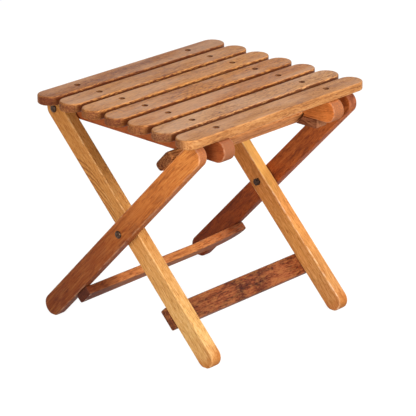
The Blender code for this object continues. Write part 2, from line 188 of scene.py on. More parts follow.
# By node: the boards, the matrix and half sizes of each one's own space, and its wood, body and slot. Then
# the tools that cut them.
boards, spaces, woods, cutters = {}, {}, {}, set()


def extruded(name, outline, thickness, place):
    shape = bmesh.new()
    face = shape.faces.new([shape.verts.new((x, y, -thickness / 2)) for x, y in outline])
    grown = bmesh.ops.extrude_face_region(shape, geom=[face])["geom"]
    raised = [part for part in grown if isinstance(part, bmesh.types.BMVert)]
    bmesh.ops.translate(shape, verts=raised, vec=(0, 0, thickness))
    bmesh.ops.recalc_face_normals(shape, faces=shape.faces)
    mesh = bpy.data.meshes.new(name)
    shape.to_mesh(mesh)
    shape.free()
    mesh.transform(place)
    return link(name, mesh)


def board(node, outline, thickness, edge, place):
    """Starts a node's board: its outline with rounded edges, ready to be drilled."""
    boards[node] = extruded(node + "_board", outline, thickness, place)
    bevel = boards[node].modifiers.new("rounded_edges", "BEVEL")
    bevel.width = edge
    bevel.segments = EDGE_STEPS
    bevel.limit_method = "ANGLE"
    bevel.angle_limit = SHARP


print("boards: edges rounded in", EDGE_STEPS, "steps, ends in", END_STEPS)


# %% Drilling and planing
def cut(piece, tool, operation="DIFFERENCE"):
    boolean = piece.modifiers.new("cut", "BOOLEAN")
    boolean.operation = operation
    boolean.solver = "EXACT"
    boolean.object = tool
    cutters.add(tool)


def smoothed(obj, angle=SHARP):
    """Smooth shading that breaks where faces meet at more than an angle."""
    obj.data.shade_smooth()
    obj.data.set_sharp_from_angle(angle=angle)
    return obj


def planed(obj, finish):
    """Settles a drilled board, with flat faces that look flat, and gives it its finish."""
    obj = smoothed(settle(obj))
    weighted = obj.modifiers.new("flat_faces", "WEIGHTED_NORMAL")
    weighted.keep_sharp = True
    obj = settle(obj)
    obj.data.materials.clear()
    obj.data.materials.append(finish)
    return obj


# %% Putting a piece in its place
def install(piece, body, slot, *nodes):
    """Puts a finished piece on its body in the place of its nodes, and prints how far the boxes differ."""
    lows, highs = zip(*[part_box(node) for node in nodes])
    off = 0
    for i in range(3):
        reaches = [vertex.co[i] for vertex in piece.data.vertices]
        low, high = min(box[i] for box in lows), max(box[i] for box in highs)
        off = max(off, abs(min(reaches) - low), abs(max(reaches) - high))
    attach(piece, body)
    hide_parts(*nodes)
    print(f"{piece.name}: {len(piece.data.polygons)} faces, box within {off * 1000:.2f} mm of the frame")


# %% [markdown]
# ## Colours and nodes
# Colours are written as the hex values a paint program shows, and turned to the linear values that light
# adds up in. One function adds any node: its kind, its inputs, each a plain value or the node or socket that
# feeds it, and its settings. The inputs are named, or stand in a row in the node's own order: a Map Range
# takes its value, then the range it comes from and the range it goes to.

# %% Colour and node helpers
MATH, VECTOR, MIX = "ShaderNodeMath", "ShaderNodeVectorMath", "ShaderNodeMix"
NOISE, RANGE, RAMP = "ShaderNodeTexNoise", "ShaderNodeMapRange", "ShaderNodeValToRGB"
SPLIT, JOIN, BUMP = "ShaderNodeSeparateXYZ", "ShaderNodeCombineXYZ", "ShaderNodeBump"
TIMES, PLUS, MINUS = (MATH, "MULTIPLY"), (MATH, "ADD"), (MATH, "SUBTRACT")
TIMES_PLUS, LARGER, SIZE = (MATH, "MULTIPLY_ADD"), (MATH, "MAXIMUM"), (MATH, "ABSOLUTE")
V_TIMES_PLUS, V_LENGTH = (VECTOR, "MULTIPLY_ADD"), (VECTOR, "LENGTH")
SMOOTH = {"interpolation_type": "SMOOTHSTEP"}
MULTIPLY = {"data_type": "RGBA", "blend_type": "MULTIPLY"}
BLEND = {"data_type": "RGBA", "blend_type": "MIX"}
MIX_A, MIX_B = 6, 7


def colour(code):
    """Linear colour of an sRGB hex value."""
    channels = [int(code[i:i + 2], 16) / 255 for i in (0, 2, 4)]
    return (*[c / 12.92 if c <= 0.04045 else ((c + 0.055) / 1.055) ** 2.4 for c in channels], 1)


def feed(tree, node, inputs):
    """Sets a node's inputs: each a plain value, a socket, or a node for its first output in use."""
    for key, value in inputs.items() if isinstance(inputs, dict) else enumerate(inputs):
        if isinstance(value, bpy.types.Node):
            value = next(output for output in value.outputs if output.enabled)
        if isinstance(value, bpy.types.NodeSocket):
            tree.links.new(value, node.inputs[key])
        else:
            node.inputs[key].default_value = value
    return node


def add(tree, kind, inputs=(), **settings):
    """Adds a node of a kind, or of a kind and operation. A ramp's stops are positions with hex colours."""
    if isinstance(kind, tuple):
        kind, settings["operation"] = kind
    node = tree.nodes.new(kind)
    for key, value in settings.items():
        if key == "stops":
            stops, pairs = node.color_ramp.elements, list(value)
            while len(stops) < len(pairs):
                stops.new(1)
            for stop, (position, code) in zip(stops, pairs):
                stop.position = position
                stop.color = colour(code)
        else:
            setattr(node.color_ramp if kind == RAMP else node, key, value)
    return feed(tree, node, inputs)


def new_finish(name):
    """A new material, with its tree and its shader."""
    finish = bpy.data.materials.new(name)
    finish.use_nodes = True
    return finish, finish.node_tree, finish.node_tree.nodes["Principled BSDF"]


print("colour: middle grey 808080 is", round(colour("808080")[0], 3), "in linear light")

# %% [markdown]
# ## Varnished hardwood
# Wood is a bundle of fibres with rings of darker latewood round the pith. A board cut from it shows those
# rings as lines along its faces, arched where the cut runs out of the ring, and as arcs on its ends. So the
# pattern is made in the board's own space: X along the grain, Y across its width, Z through its thickness.
# The distance from a pith line beside the board gives the rings, noise stretched along X gives fibre streaks,
# flecks and pores, and slow noise gives blotches. Tints then multiply that tone: pores, a change of colour
# along the board, which on the right inner leg also darkens its top as painted shade under the seat, a tint
# for
# each slat. Last come covers that hide it: dark end grain, edges rubbed pale and lit with a painted
# highlight, painted shade low in the gaps between slats and on some slats' ends, painted shade on undersides,
# painted light on an upper edge, tops partly bleached and partly painted with a pale sheen, painted shade on
# the rims of screw holes, and scuffs. Real fibres are finer than the picture can show, so they are drawn
# about two millimetres wide.

# %% Streaks
# The size of each kind of mark: millimetres along the grain, and across it.
SWAY, BAND, BLOTCH, CLOUD = (130, 60), (160, 8), (70, 32), (150, 40)
FIBRE, FLECK, PORE, WEAR_HIGHLIGHT_SIZE = (45, 2.2), (11, 2), (13, 1.7), (16, 6)
NOISE_ROUGHNESS = 0.6


def streaks(tree, space, size, detail=2, flow=1.0):
    """Noise stretched along the grain to a size in millimetres. flow makes it longer."""
    length, width = size
    stretch = (1000 / (length * flow), 1000 / width, 1000 / width)
    scaled = add(tree, (VECTOR, "MULTIPLY"), (space, stretch))
    settings = {"Vector": scaled, "Scale": 1, "Detail": detail, "Roughness": NOISE_ROUGHNESS}
    return add(tree, NOISE, settings)


# %% Rings
LATEWOOD_SHARE = 0.25
PATCH_FADE = (0.5, 1.2)
FAINT_LINES = 0.03


def ring_lines(tree, space, bent, pith, ring, lean, figure, patch):
    """The lines of latewood, and how much they darken: by figure in the patch, and faintly outside it."""
    beside = (-lean * pith[0], -pith[1], -pith[2])
    away = add(tree, V_TIMES_PLUS, (bent, (lean, 1, 1), beside))
    distance = add(tree, V_LENGTH, (away,))
    years = add(tree, TIMES, (distance, 1000 / ring))
    season = add(tree, (MATH, "PINGPONG"), (years, 0.5))
    latewood = add(tree, RANGE, (season, 0, LATEWOOD_SHARE, 1, 0), **SMOOTH)
    apart = add(tree, (VECTOR, "SUBTRACT"), (space, patch[0]))
    apart = add(tree, (VECTOR, "DIVIDE"), (apart, patch[1]))
    apart = add(tree, V_LENGTH, (apart,))
    shown = add(tree, RANGE, (apart, *PATCH_FADE, -figure, -FAINT_LINES), **SMOOTH)
    return latewood, shown


# %% Slats in a row
TIMBER_SHIFT = 0.713
OPEN_SIDE = (0.28, 0.5)


def in_row(tree, x, y, z, count, pitch):
    """For a row of slats: a space that starts anew on each, Y across it, its step from 0 to 1, and a mask
    that is one on faces that look into a gap, and zero on the open sides of the first and last slat."""
    order = add(tree, TIMES_PLUS, (y, -1 / pitch, count / 2))
    number = add(tree, (MATH, "FLOOR"), (order,))
    rest = add(tree, (MATH, "FRACT"), (order,))
    across = add(tree, TIMES_PLUS, (rest, -pitch, pitch / 2))
    shifted = add(tree, TIMES_PLUS, (number, TIMBER_SHIFT, x))
    space = add(tree, JOIN, (shifted, across, z))
    step = add(tree, TIMES_PLUS, (number, 1 / count, 0.5 / count))
    outward = add(tree, MINUS, (order, count / 2))
    outward = add(tree, SIZE, (outward,))
    fade = [count / 2 - share for share in OPEN_SIDE]
    between = add(tree, RANGE, (outward, *fade))
    return space, across, step, between


# %% Masks for edges, gaps and holes
EDGE_BAND = (0.0029, 0.0012)
GAP_SHADE_RAGGED, GAP_SHADE_CLIMB, GAP_SHADE_FADE = 0.014, 0.006, (0.0058, 0.0034)
LONG_SIDES = (0.5, 0.2)
RIM_DEPTH, RIM_SHADE, RIM_FADE = (0.002, 0.0006), (0.15, 0.9), (0.0007, -0.0002)


def rounded_edge(tree, length, y, z, half, round_ends):
    """One on a board's rounded edges, zero on its faces."""
    over = add(tree, MINUS, (length, half[0] - half[1] * round_ends))
    over = add(tree, LARGER, (over, 0.0))
    spoke = add(tree, JOIN, (over, y))
    radius = add(tree, V_LENGTH, (spoke,))
    depth = add(tree, SIZE, (z,))
    reach = add(tree, PLUS, (radius, depth))
    brim = [half[1] + half[2] - inset for inset in EDGE_BAND]
    return add(tree, RANGE, (reach, *brim))


def gap_shade_mask(tree, z, half, fleck, climb, between, facing, strength):
    """Painted shade low on the long sides of slats that face a gap, with a ragged upper edge."""
    sunk = add(tree, TIMES_PLUS, (fleck, GAP_SHADE_RAGGED, z))
    sunk = add(tree, TIMES_PLUS, (climb, -GAP_SHADE_CLIMB, sunk))
    fade = [half[2] + height for height in GAP_SHADE_FADE]
    sunk = add(tree, RANGE, (sunk, *fade, 0, strength))
    sunk = add(tree, TIMES, (sunk, between))
    aside = add(tree, RANGE, (facing, *LONG_SIDES))
    return add(tree, TIMES, (sunk, aside))


def hole_rim(tree, length, y, z, half, reach, radius):
    """Painted shade, strong on the rims of the screw holes and weak down in them."""
    beside = add(tree, MINUS, (length, reach))
    spoke = add(tree, JOIN, (beside, y))
    away = add(tree, V_LENGTH, (spoke,))
    rim = [half[2] - depth for depth in RIM_DEPTH]
    shade = add(tree, RANGE, (z, *rim, *RIM_SHADE))
    fade = [radius + margin for margin in RIM_FADE]
    return add(tree, RANGE, (away, *fade, 0, shade))


# %% Wood
# Where noise turns into a mark, and how far a face has to turn to count as an end, a top or an underside.
TONE_STOPS, TONE_MIDDLE, PORE_STOPS = (0.28, 0.5, 0.74), 0.52, (0.57, 0.7)
WEAR_HIGHLIGHT_AT, CLOUD_AT, SCUFF_AT = (0.4, 0.6), (0.42, 0.62), (0.47, 0.63)
SPECKLE_AT, SPECKLE = (0.35, 0.65), (1.15, 0.65)
END_AT, UNDER_AT, TOP_AT = (0.15, 0.6), (-0.1, -0.55), (0.6, 0.98)
FRONT_AT, LIT_PART = (0.25, 0.5), (-0.25, 0.05)
FIBRE_SHARE, FLECK_SHARE, BAND_SHARE, BLOTCH_SHARE = 0.75, 0.7, 0.35, 0.4
SWAY_GAIN, ALONG_START, ALONG_RAGGED, SHADED_ENDS = 4, 0.38, 0.24, 1.6
SHEEN_AT, SHINIER, DULLER, ROUGHER_ENDS = (0.3, 0.7), 0.07, 0.1, 0.4
WORN_VARNISH, GRAIN_BUMP, GRAIN_DEPTH = 0.15, 0.35, 0.0006


def wood(name, place, half, tones, ends, worn, along=None, row=None, gap_shade=None, bleach_and_sheen=None, under=None,
         sunned=None, scuff=None, holes=None, round_ends=True, grain=1.0, flow=1.0, pore="b48c70",
         pith=(0, 0.02, -0.05), ring=8, lean=0.05, wave=0.006, figure=0.15, patch=((0, 0, 0), (1, 1, 1)),
         gloss=0.62):
    """Varnished wood for one board, from its matrix, its half sizes, and its dark, middle and pale tones.

    along tints the length, and row gives a row's count, pitch and tints. ends, worn, grime, bleach, under,
    sunned and scuff are each a colour and a strength. worn pales the rounded edges, partly as rubbing and
    partly as a painted highlight. grime is painted shade low on the slats' sides in the gaps and on their
    ends, and adds how far it climbs on each slat, as greys. bleach pales the tops, partly as bleaching and
    partly as a painted sheen. under is painted shade on faces that look down, and sunned is painted light on
    the upper part of an upward edge. scuff adds its length and width in millimetres. holes is a colour, a
    distance from the middle and a radius, for painted shade on the rims of the screw holes.
    grain is the strength of the streaks, and flow stretches them. ring is a ring's width in millimetres,
    figure the strength of the ring lines, and patch the middle and half sizes of where they show."""
    finish, tree, shader = new_finish(name)
    where = add(tree, "ShaderNodeTexCoord").outputs
    turned_space = (where["Object"], place.to_translation(), place.to_euler())
    space = add(tree, "ShaderNodeMapping", turned_space, vector_type="TEXTURE")
    x, y, z = add(tree, SPLIT, (space,)).outputs
    if row:
        count, pitch, tints = row
        space, y, step, between = in_row(tree, x, y, z, count, pitch)

    sway = streaks(tree, space, SWAY)
    swing = SWAY_GAIN * wave
    bent = add(tree, V_TIMES_PLUS, (sway, (0, swing, swing), space))
    latewood, shown = ring_lines(tree, space, bent, pith, ring, lean, figure, patch)
    fibre = streaks(tree, bent, FIBRE, 3, flow)
    fleck = streaks(tree, bent, FLECK, 2, flow)
    pores = streaks(tree, bent, PORE, 2, flow)
    band = streaks(tree, bent, BAND)
    blotch = streaks(tree, space, BLOTCH, 3)
    shares = ((fibre, FIBRE_SHARE), (fleck, FLECK_SHARE), (band, BAND_SHARE), (blotch, BLOTCH_SHARE))
    start = TONE_MIDDLE - grain * sum(share for _, share in shares) / 2
    pattern = add(tree, TIMES_PLUS, (latewood, shown, start))
    for part, share in shares:
        pattern = add(tree, TIMES_PLUS, (part, grain * share, pattern))
    tone = add(tree, RAMP, (pattern,), stops=zip(TONE_STOPS, tones))

    tinted = [add(tree, RAMP, (pores,), stops=zip(PORE_STOPS, ("ffffff", pore)))]
    if along:
        reach = add(tree, TIMES_PLUS, (x, 0.5 / half[0], ALONG_START))
        reach = add(tree, TIMES_PLUS, (blotch, ALONG_RAGGED, reach))
        tinted.append(add(tree, RAMP, (reach,), stops=along))
    if row:
        firsts = [i / count for i in range(count)]
        tinted.append(add(tree, RAMP, (step,), stops=zip(firsts, tints), interpolation="CONSTANT"))
    for tint in tinted:
        tone = add(tree, MIX, {"Factor": 1.0, MIX_A: tone, MIX_B: tint}, **MULTIPLY)

    axis = place.to_3x3() @ X_AXIS
    facing = add(tree, (VECTOR, "DOT_PRODUCT"), (where["Normal"], axis))
    facing = add(tree, SIZE, (facing,))
    up = add(tree, SPLIT, (where["Normal"],)).outputs[2]
    length = add(tree, SIZE, (x,))
    speckle = [ends[1] * share for share in SPECKLE]
    speckle = add(tree, RANGE, (fleck, *SPECKLE_AT, *speckle))
    cap = add(tree, RANGE, (facing, *END_AT, 0, speckle))
    # Painted shade on the slats' ends, stronger on the slats where the gap shade climbs higher.
    if gap_shade:
        climb = add(tree, RAMP, (step,), stops=zip(firsts, gap_shade[2]), interpolation="CONSTANT")
        shadier_ends = add(tree, TIMES_PLUS, (climb, SHADED_ENDS, 1.0))
        shadier_ends = add(tree, TIMES, (shadier_ends, between))
        cap = add(tree, TIMES, (cap, shadier_ends))
    # Pale rounded edges: partly rubbing, partly a painted highlight.
    edge = rounded_edge(tree, length, y, z, half, round_ends)
    wear_highlight = add(tree, RANGE, (streaks(tree, space, WEAR_HIGHLIGHT_SIZE, 3), *WEAR_HIGHLIGHT_AT, 0, worn[1]))
    covers = [(ends[0], cap), (worn[0], add(tree, TIMES, (edge, wear_highlight)))]
    # Painted shade low on the slats' sides in the gaps.
    if gap_shade:
        covers.append((gap_shade[0], gap_shade_mask(tree, z, half, fleck, climb, between, facing, gap_shade[1])))
    # Painted shade on faces that look down.
    if under:
        covers.append((under[0], add(tree, RANGE, (up, *UNDER_AT, 0, under[1]))))
    # Painted light on the upper part of an upward facing edge.
    if sunned:
        front = add(tree, RANGE, (up, *FRONT_AT, 0, sunned[1]))
        part = [share * half[0] for share in LIT_PART]
        high = add(tree, RANGE, (x, *part))
        covers.append((sunned[0], add(tree, TIMES, (front, high))))
    # Pale patches on tops: partly bleaching, partly a painted sheen.
    if bleach_and_sheen:
        top = add(tree, RANGE, (up, *TOP_AT))
        cloud = add(tree, RANGE, (streaks(tree, space, CLOUD), *CLOUD_AT, 0, bleach_and_sheen[1]))
        covers.append((bleach_and_sheen[0], add(tree, TIMES, (top, cloud))))
    # Painted shade on the rims of the screw holes.
    if holes:
        covers.append((holes[0], hole_rim(tree, length, y, z, half, *holes[1:])))
    if scuff:
        marks = streaks(tree, space, scuff[2:], 5)
        covers.append((scuff[0], add(tree, RANGE, (marks, *SCUFF_AT, 0, scuff[1]))))
    for code, mask in covers:
        tone = add(tree, MIX, {"Factor": mask, MIX_A: tone, MIX_B: colour(code)}, **BLEND)

    sheen = add(tree, RANGE, (blotch, *SHEEN_AT, gloss - SHINIER, gloss + DULLER))
    rough = add(tree, TIMES_PLUS, (cap, ROUGHER_ENDS, sheen))
    height = add(tree, MINUS, (fibre, pores))
    bump = add(tree, BUMP, {"Strength": GRAIN_BUMP, "Distance": GRAIN_DEPTH, "Height": height})
    looks = {"Base Color": tone, "Roughness": rough, "Normal": bump, "Specular IOR Level": WORN_VARNISH}
    feed(tree, shader, looks)
    return finish


# %% [markdown]
# ## Steel hardware
# Old bolts and screws: steel that went black-brown, with rust in patches. The bolts' near-black is partly
# painted shade, since the hinge bolts sit in the seat's shadow, and the screws are lightened as painted light
# against the shade of their recesses. The steel is metallic and fairly rough, and noise about two millimetres
# wide mixes bare steel, oxide and rust.

# %% Blackened steel
RUST_SIZE = (2.4, 2.4)
RUST_STOPS = (0.36, 0.47, 0.64)
RUST_SHEEN_AT, RUST_DULLER = (0.35, 0.7), 0.2
OXIDE_METALLIC, RUST_BUMP, RUST_DEPTH = 0.8, 0.3, 0.0003


def steel(name, bare, oxide, rust, polish):
    """Old steel in three tones. polish is the roughness where it is barest."""
    finish, tree, shader = new_finish(name)
    where = add(tree, "ShaderNodeTexCoord").outputs["Object"]
    patches = streaks(tree, where, RUST_SIZE, 4)
    tone = add(tree, RAMP, (patches,), stops=zip(RUST_STOPS, (rust, oxide, bare)))
    rough = add(tree, RANGE, (patches, *RUST_SHEEN_AT, polish + RUST_DULLER, polish))
    bump = add(tree, BUMP, {"Strength": RUST_BUMP, "Distance": RUST_DEPTH, "Height": patches})
    feed(tree, shader, {"Base Color": tone, "Metallic": OXIDE_METALLIC, "Roughness": rough, "Normal": bump})
    return finish


# Rusted screws: a dull, warm grey-brown, lightened as painted light so that it still shows at the bottom of
# its shaded hole.
screw_steel = steel("rusted_screw_steel", "c4ac9a", "8e7462", "906448", 0.45)
# Blackened bolts: nearly black domes with a small soft highlight and brown rust round it; the near-black is
# partly painted shade, as the hinge bolts sit in the seat's shadow.
bolt_steel = steel("blackened_bolt_steel", "5c4434", "2c1e14", "46281a", 0.40)
# Black nuts: as dark as the bolts, but duller, so their flats show only as steps of shade.
nut_steel = steel("black_nut_steel", "523a2c", "30221a", "442a1e", 0.50)
print("steel:", screw_steel.name, bolt_steel.name, nut_steel.name)

# %% [markdown]
# ## Screws and bolts: the shapes
# A turned piece is a profile of radius and height that is spun round its axis. The same profile, a little
# wider, makes the hole it sits in. Screws are old slotted ones, so a narrow bar cuts the slot. Bolts have a
# low domed head, nuts are hexagons with their corners turned off.

# %% Turning
TURN_STEPS = 48
MERGE = 0.00001


def turned(name, profile, place=Matrix(), steps=TURN_STEPS):
    """Spins a profile of (radius, height) points about Z and closes it."""
    mesh = bpy.data.meshes.new(name)
    mesh.from_pydata([(r, 0, h) for r, h in profile], [(i, i + 1) for i in range(len(profile) - 1)], [])
    obj = link(name, mesh)
    spin = obj.modifiers.new("spin", "SCREW")
    spin.steps = spin.render_steps = steps
    spin.use_merge_vertices = True
    spin.merge_threshold = MERGE
    obj = settle(obj)
    shape = bmesh.new()
    shape.from_mesh(obj.data)
    bmesh.ops.remove_doubles(shape, verts=shape.verts, dist=MERGE)
    bmesh.ops.recalc_face_normals(shape, faces=shape.faces)
    shape.to_mesh(obj.data)
    shape.free()
    obj.data.transform(place)
    return obj


# %% Screws and their holes
SCREW_HEAD = 0.0085
SCREW_HEAD_DEPTH = 0.0028
SCREW_RIM = 0.0005
SCREW_BREAK = 0.0002
SCREW_SHANK = 0.0044
SCREW_POINT = 0.009
SCREW_STEPS = 32
SLOT_WIDTH = 0.0013
SLOT_DEPTH = 0.0011
SLAT_RECESS = 0.0035
SLAT_MARGIN = 0.0016
FRAME_RECESS = 0.0006
CUT_OVER = 0.01


def drill(nodes, surface, inward, length, recess=FRAME_RECESS, margin=GAP):
    """Drills the hole of a countersunk screw, with the bore above its head, through the nodes' boards."""
    head, pilot = SCREW_HEAD / 2, SCREW_SHANK / 2 + GAP
    profile = [
        (0, CUT_OVER), (head + margin, CUT_OVER), (head + margin, 0), (head + GAP, -GAP),
        (pilot, -SCREW_HEAD_DEPTH - GAP), (pilot, -length - GAP), (0, -length - GAP),
    ]
    hole = turned("hole", profile, placed(surface + inward * recess, X_AXIS, -inward), SCREW_STEPS)
    for node in nodes:
        cut(boards[node], hole)


def screw(name, length):
    """A slotted countersunk wood screw with its head's top at the origin, pointing down."""
    head, shank = SCREW_HEAD / 2, SCREW_SHANK / 2
    profile = [
        (0, 0), (head - SCREW_BREAK, 0), (head, -SCREW_BREAK), (head, -SCREW_RIM), (shank, -SCREW_HEAD_DEPTH),
        (shank, SCREW_POINT - length), (shank * 0.5, SCREW_POINT / 3 - length), (0, -length),
    ]
    obj = turned(name, profile, Matrix(), SCREW_STEPS)
    cut(obj, extruded("slot", rectangle(2 * SCREW_HEAD, SLOT_WIDTH), 2 * SLOT_DEPTH, Matrix()))
    return smoothed(settle(obj))


# %% Bolts, nuts and washers
BOLT = 0.008
BOLT_HEAD = 0.0145
BOLT_RIM = 0.0012
BOLT_CROWN = 0.0028
BOLT_BREAK = 0.0003
BOLT_TIP = 0.0015
BOLT_TIP_BREAK = 0.0008
DOME_STEPS = 10
NUT_WIDTH = 0.013
NUT_HEIGHT = 0.0055
NUT_BREAK = 0.0002
NUT_SLOPE = radians(30)
NUT_SHARP = radians(25)
WASHER = 0.022
WASHER_THICKNESS = 0.0026
WASHER_BREAK = 0.0003
BORE = BOLT / 2 + GAP


def bolt(name, grip):
    """A domed bolt with the face under its head at the origin, pointing down."""
    head, shank = BOLT_HEAD / 2, BOLT / 2
    rim = GAP + BOLT_RIM
    end = -grip - GAP - NUT_HEIGHT - BOLT_TIP
    turns = [pi / 2 * (1 - step / DOME_STEPS) for step in range(1, DOME_STEPS + 1)]
    profile = [
        (0, rim + BOLT_CROWN),
        *[(head * cos(a), rim + BOLT_CROWN * sin(a)) for a in turns],
        (head, GAP + BOLT_BREAK), (head - BOLT_BREAK, GAP), (shank, GAP),
        (shank, end + BOLT_TIP_BREAK), (shank - BOLT_TIP_BREAK, end), (0, end),
    ]
    return smoothed(turned(name, profile))


def nut(name):
    """A hexagon nut whose corners are turned off, centred on its bore."""
    corner = NUT_WIDTH / 2 / cos(pi / 6)
    hexagon = [(corner * cos(a), corner * sin(a)) for a in (pi / 3 * i for i in range(6))]
    obj = extruded(name, hexagon, NUT_HEIGHT, Matrix())
    half, flat, outside = NUT_HEIGHT / 2, NUT_WIDTH / 2 - NUT_BREAK, corner + NUT_BREAK
    slope = (corner - flat) * tan(NUT_SLOPE)
    barrel = turned("barrel", [
        (0, half), (flat, half), (outside, half - slope), (outside, slope - half), (flat, -half), (0, -half),
    ])
    bore = turned("bore", [(0, CUT_OVER), (BORE, CUT_OVER), (BORE, -CUT_OVER), (0, -CUT_OVER)])
    cut(obj, barrel, "INTERSECT")
    cut(obj, bore)
    return smoothed(settle(obj), NUT_SHARP)


def washer(name):
    outer, half, rim = WASHER / 2, WASHER_THICKNESS / 2, WASHER_BREAK
    profile = [
        (BORE, half), (outer - rim, half), (outer, half - rim), (outer, rim - half), (outer - rim, -half),
        (BORE, -half), (BORE, half),
    ]
    return smoothed(turned(name, profile))


# %% [markdown]
# ## A tree for what repeats
# Screws, bolts, nuts and washers are each one piece set at several points. The points are a mesh whose
# vertices carry the way each piece aims as an attribute. The tree sets an instance on every point, turns it
# about its own axis by a random amount with a fixed seed, so no two slots line up, and makes it real mesh.

# %% Starting, ending and running a tree
def new_tree(name, sockets):
    """A geometry tree with named inputs, and its two ends."""
    tree = bpy.data.node_groups.new(name, "GeometryNodeTree")
    tree.interface.new_socket("Geometry", in_out="OUTPUT", socket_type="NodeSocketGeometry")
    for label, kind in sockets:
        tree.interface.new_socket(label, in_out="INPUT", socket_type="NodeSocket" + kind)
    return tree, add(tree, "NodeGroupInput").outputs, add(tree, "NodeGroupOutput")


def end_tree(tree, instances, finish, output):
    """Makes a tree's instances real mesh, gives them their finish and sends them out."""
    real = add(tree, "GeometryNodeRealizeInstances", (instances,))
    dressed = add(tree, "GeometryNodeSetMaterial", {"Geometry": real, "Material": finish})
    feed(tree, output, (dressed,))
    print("tree:", tree.name, len(tree.nodes), "nodes")


def run_tree(tree, host, values):
    """Runs a tree on an object with its inputs set by name, and settles the result."""
    modifier = host.modifiers.new(tree.name, "NODES")
    modifier.node_group = tree
    sockets = {s.name: s.identifier for s in tree.interface.items_tree if s.in_out == "INPUT"}
    for label, value in values.items():
        modifier[sockets[label]] = value
    return settle(host)


# %% Hardware tree
RANDOM_MAX = 3
hardware, wanted, hardware_end = new_tree("hardware_on_points", (
    ("Points", "Geometry"), ("Piece", "Object"), ("Spin", "Float"), ("Seed", "Int"), ("Finish", "Material"),
))
aim = add(hardware, "GeometryNodeInputNamedAttribute", {"Name": "aim"}, data_type="FLOAT_VECTOR")
master = add(hardware, "GeometryNodeObjectInfo", {"Object": wanted["Piece"]})
pieces = add(hardware, "GeometryNodeInstanceOnPoints", {
    "Points": wanted["Points"], "Instance": master.outputs["Geometry"], "Rotation": aim,
})
turns = {RANDOM_MAX: wanted["Spin"], "Seed": wanted["Seed"]}
spin = add(hardware, "FunctionNodeRandomValue", turns, data_type="FLOAT")
about = add(hardware, JOIN, {"Z": spin})
spun = add(hardware, "GeometryNodeRotateInstances", {"Instances": pieces, "Rotation": about})
end_tree(hardware, spun, wanted["Finish"], hardware_end)


def set_on_points(name, piece, spots, finish, seed, body, nodes):
    """One mesh of a piece set at each spot, a point and the way its top faces, in the place of nodes."""
    mesh = bpy.data.meshes.new(name)
    mesh.from_pydata([point for point, _ in spots], [], [])
    aims = mesh.attributes.new("aim", "FLOAT_VECTOR", "POINT")
    for value, (_, facing) in zip(aims.data, spots):
        value.vector = placed(Vector(), facing.orthogonal().normalized(), facing).to_euler()
    values = {"Piece": piece, "Spin": 2 * pi, "Seed": seed, "Finish": finish}
    made = run_tree(hardware, link(name, mesh), values)
    bpy.data.objects.remove(piece)
    install(made, body, "steel", *nodes)


# %% [markdown]
# ## Seat: slats
# Seven equal slats with half-round ends lie side by side with finger-wide gaps. One slat is made and drilled,
# and a tree lays the row from a count and a pitch. The wood looks along each slat separately, because its
# pattern restarts at every pitch. Their tops are rubbed and a little bleached, with a painted pale sheen,
# each slat has its own tint, and painted shade darkens them low in the gaps.

# %% One slat
SLATS = [f"seat_slat_{i}" for i in range(1, 8)]
SLAT_EDGE = 0.003
SLAT_BITE = 0.0155
slat_size = size_of(SLATS[0])
first, last = middle_of(SLATS[0]), middle_of(SLATS[-1])
pitch = first.y - middle_of(SLATS[1]).y
seat_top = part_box(SLATS[0])[1][2]
bearer_x = abs(middle_of("seat_bearer_left").x)
SLAT_SCREW_LENGTH = slat_size.z - SLAT_RECESS + GAP + SLAT_BITE

# Brown hardwood with thin, rubbed varnish: warm and dull on top, with pale patches that are partly bleaching
# and partly a painted sheen, edges paler from rubbing and a painted highlight, and painted shade low in the
# gaps, on some slats' ends and on the rims of the screw holes.
slat_wood = wood(
    "worn_varnished_slat_hardwood", Matrix.Translation((first + last) / 2), slat_size / 2,
    ("975e33", "c9874d", "dea269"), ends=("5e2c1a", 0.74), worn=("d8924e", 0.6),
    row=(len(SLATS), pitch, ("c7b69e", "dbd3bf", "e8e1c7", "e3d4a8", "daccb4", "e8eef6", "dbd8d0")),
    gap_shade=("58240f", 0.88, ("848484", "101010", "181818", "707070", "101010", "606060", "000000")),
    bleach_and_sheen=("c89c7a", 0.45), holes=("36211a", bearer_x, SCREW_HEAD / 2 + SLAT_MARGIN),
    pith=(0, 0.012, -0.06), ring=11, lean=0.03, gloss=0.42,
)
board("slat", pill(slat_size.x, slat_size.y), slat_size.z, SLAT_EDGE, Matrix())
for side in SIDES.values():
    surface = Vector((side * bearer_x, 0, slat_size.z / 2))
    drill(["slat"], surface, -Z_AXIS, SLAT_SCREW_LENGTH, SLAT_RECESS, SLAT_MARGIN)
slat = planed(boards.pop("slat"), slat_wood)
print("slat:", [round(v, 4) for v in slat_size], "every", round(pitch, 4), "m")

# %% Row of slats
slat_row, wanted, row_end = new_tree("slat_row", (
    ("Slat", "Object"), ("Count", "Int"), ("Pitch", "Float"), ("First", "Vector"), ("Finish", "Material"),
))
forwards = add(slat_row, TIMES, (wanted["Pitch"], -1.0))
stride = add(slat_row, JOIN, {"Y": forwards})
steps = {"Count": wanted["Count"], "Start Location": wanted["First"], "Offset": stride}
line = add(slat_row, "GeometryNodeMeshLine", steps)
master = add(slat_row, "GeometryNodeObjectInfo", {"Object": wanted["Slat"]})
on_line = {"Points": line, "Instance": master.outputs["Geometry"]}
laid = add(slat_row, "GeometryNodeInstanceOnPoints", on_line)
end_tree(slat_row, laid, wanted["Finish"], row_end)

row_values = {"Slat": slat, "Count": len(SLATS), "Pitch": pitch, "First": first, "Finish": slat_wood}
slats = run_tree(slat_row, link("seat_slats", bpy.data.meshes.new("seat_slats")), row_values)
bpy.data.objects.remove(slat)
install(slats, "seat", "slat_wood", *SLATS)

